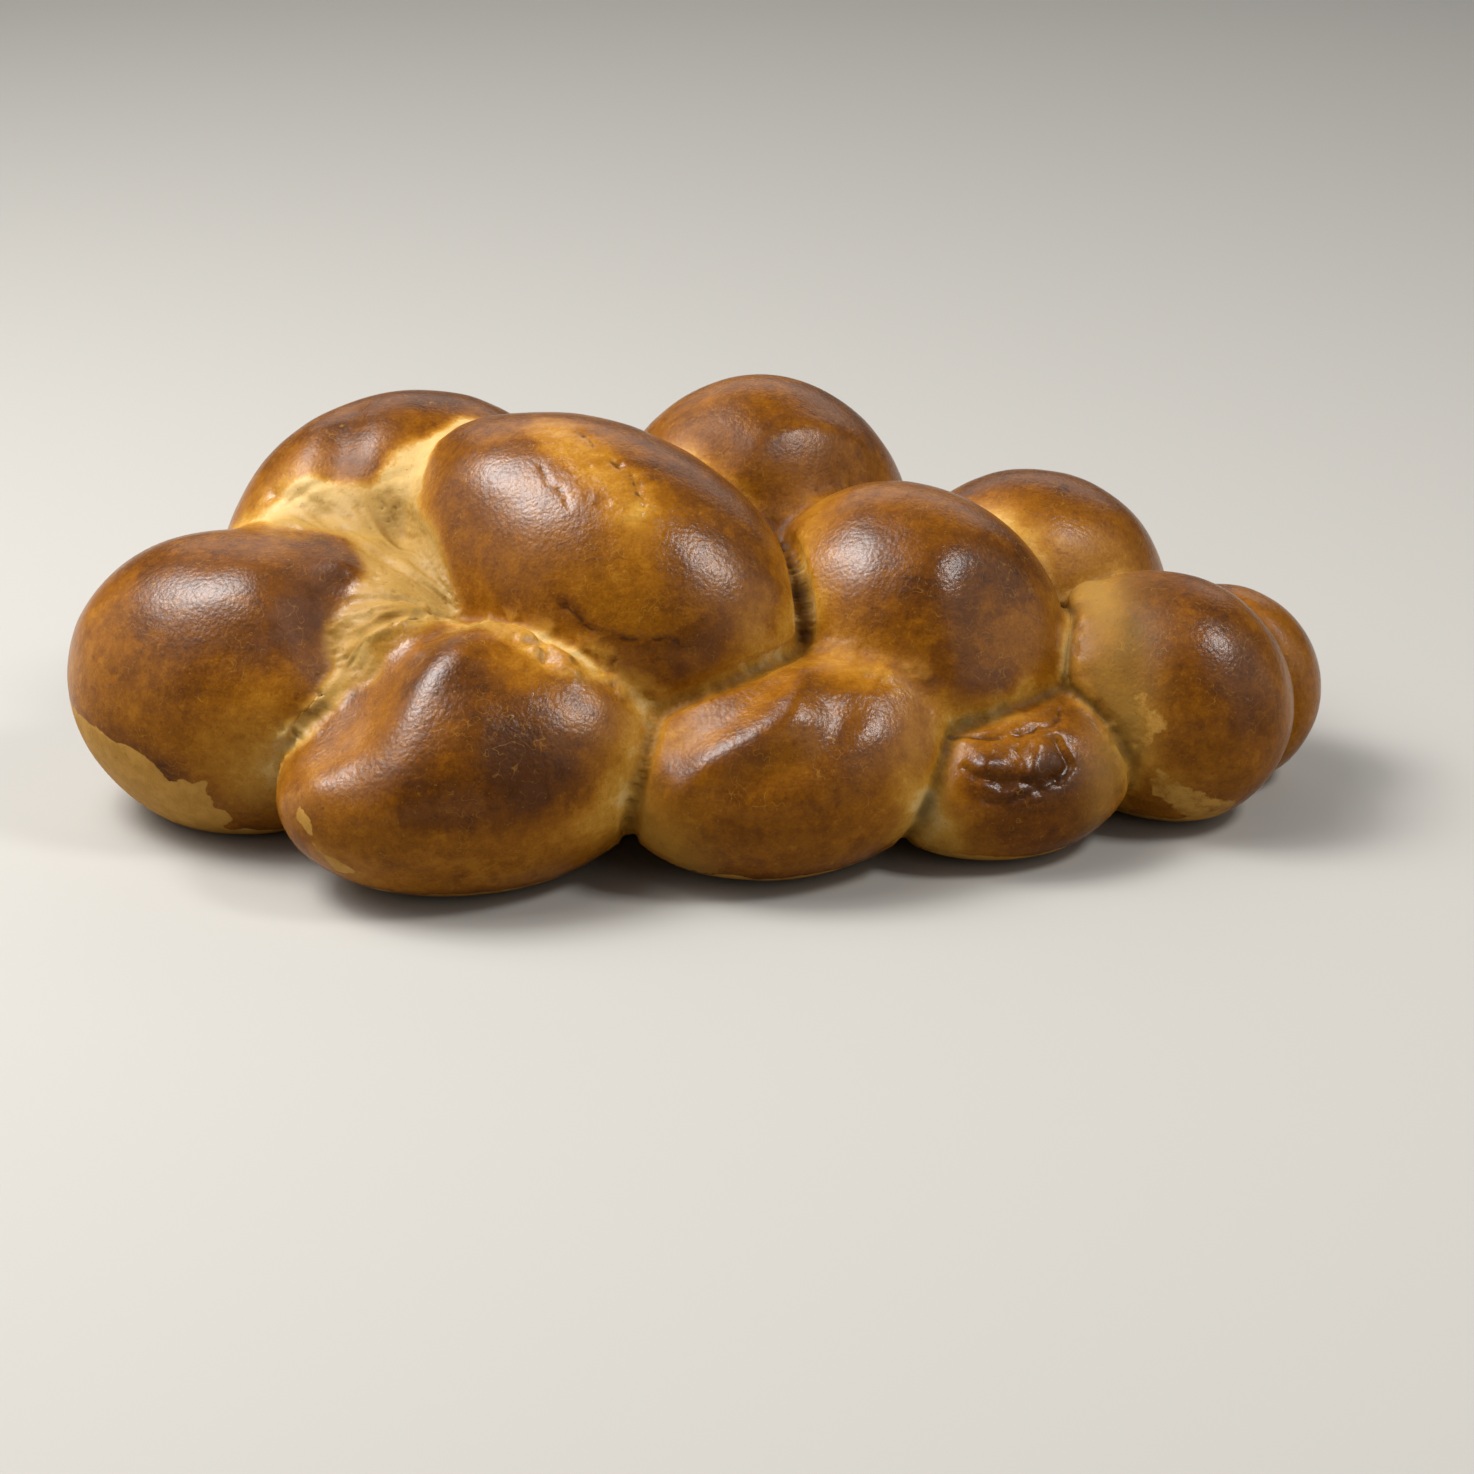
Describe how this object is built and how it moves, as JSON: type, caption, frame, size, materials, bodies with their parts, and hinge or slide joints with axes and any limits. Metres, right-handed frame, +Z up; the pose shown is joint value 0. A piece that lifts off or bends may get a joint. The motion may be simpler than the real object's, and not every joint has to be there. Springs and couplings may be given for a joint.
{
  "type": "braided loaf",
  "caption": "plump golden-brown braided bread loaf, thick and rounded at one end and tapering to a tucked tail, with glossy swollen lobes and a flat underside",
  "frame": {"origin": "centre of the loaf's bounding box, on the flat underside", "axes": "+X along the loaf toward its thin tail, +Y across it to the back, +Z up"},
  "size_m": [0.3516, 0.1763, 0.1084],
  "materials": {
    "crust": "satin"
  },
  "bodies": {
    "root": {"loaf": "crust"}
  },
  "joints": []
}
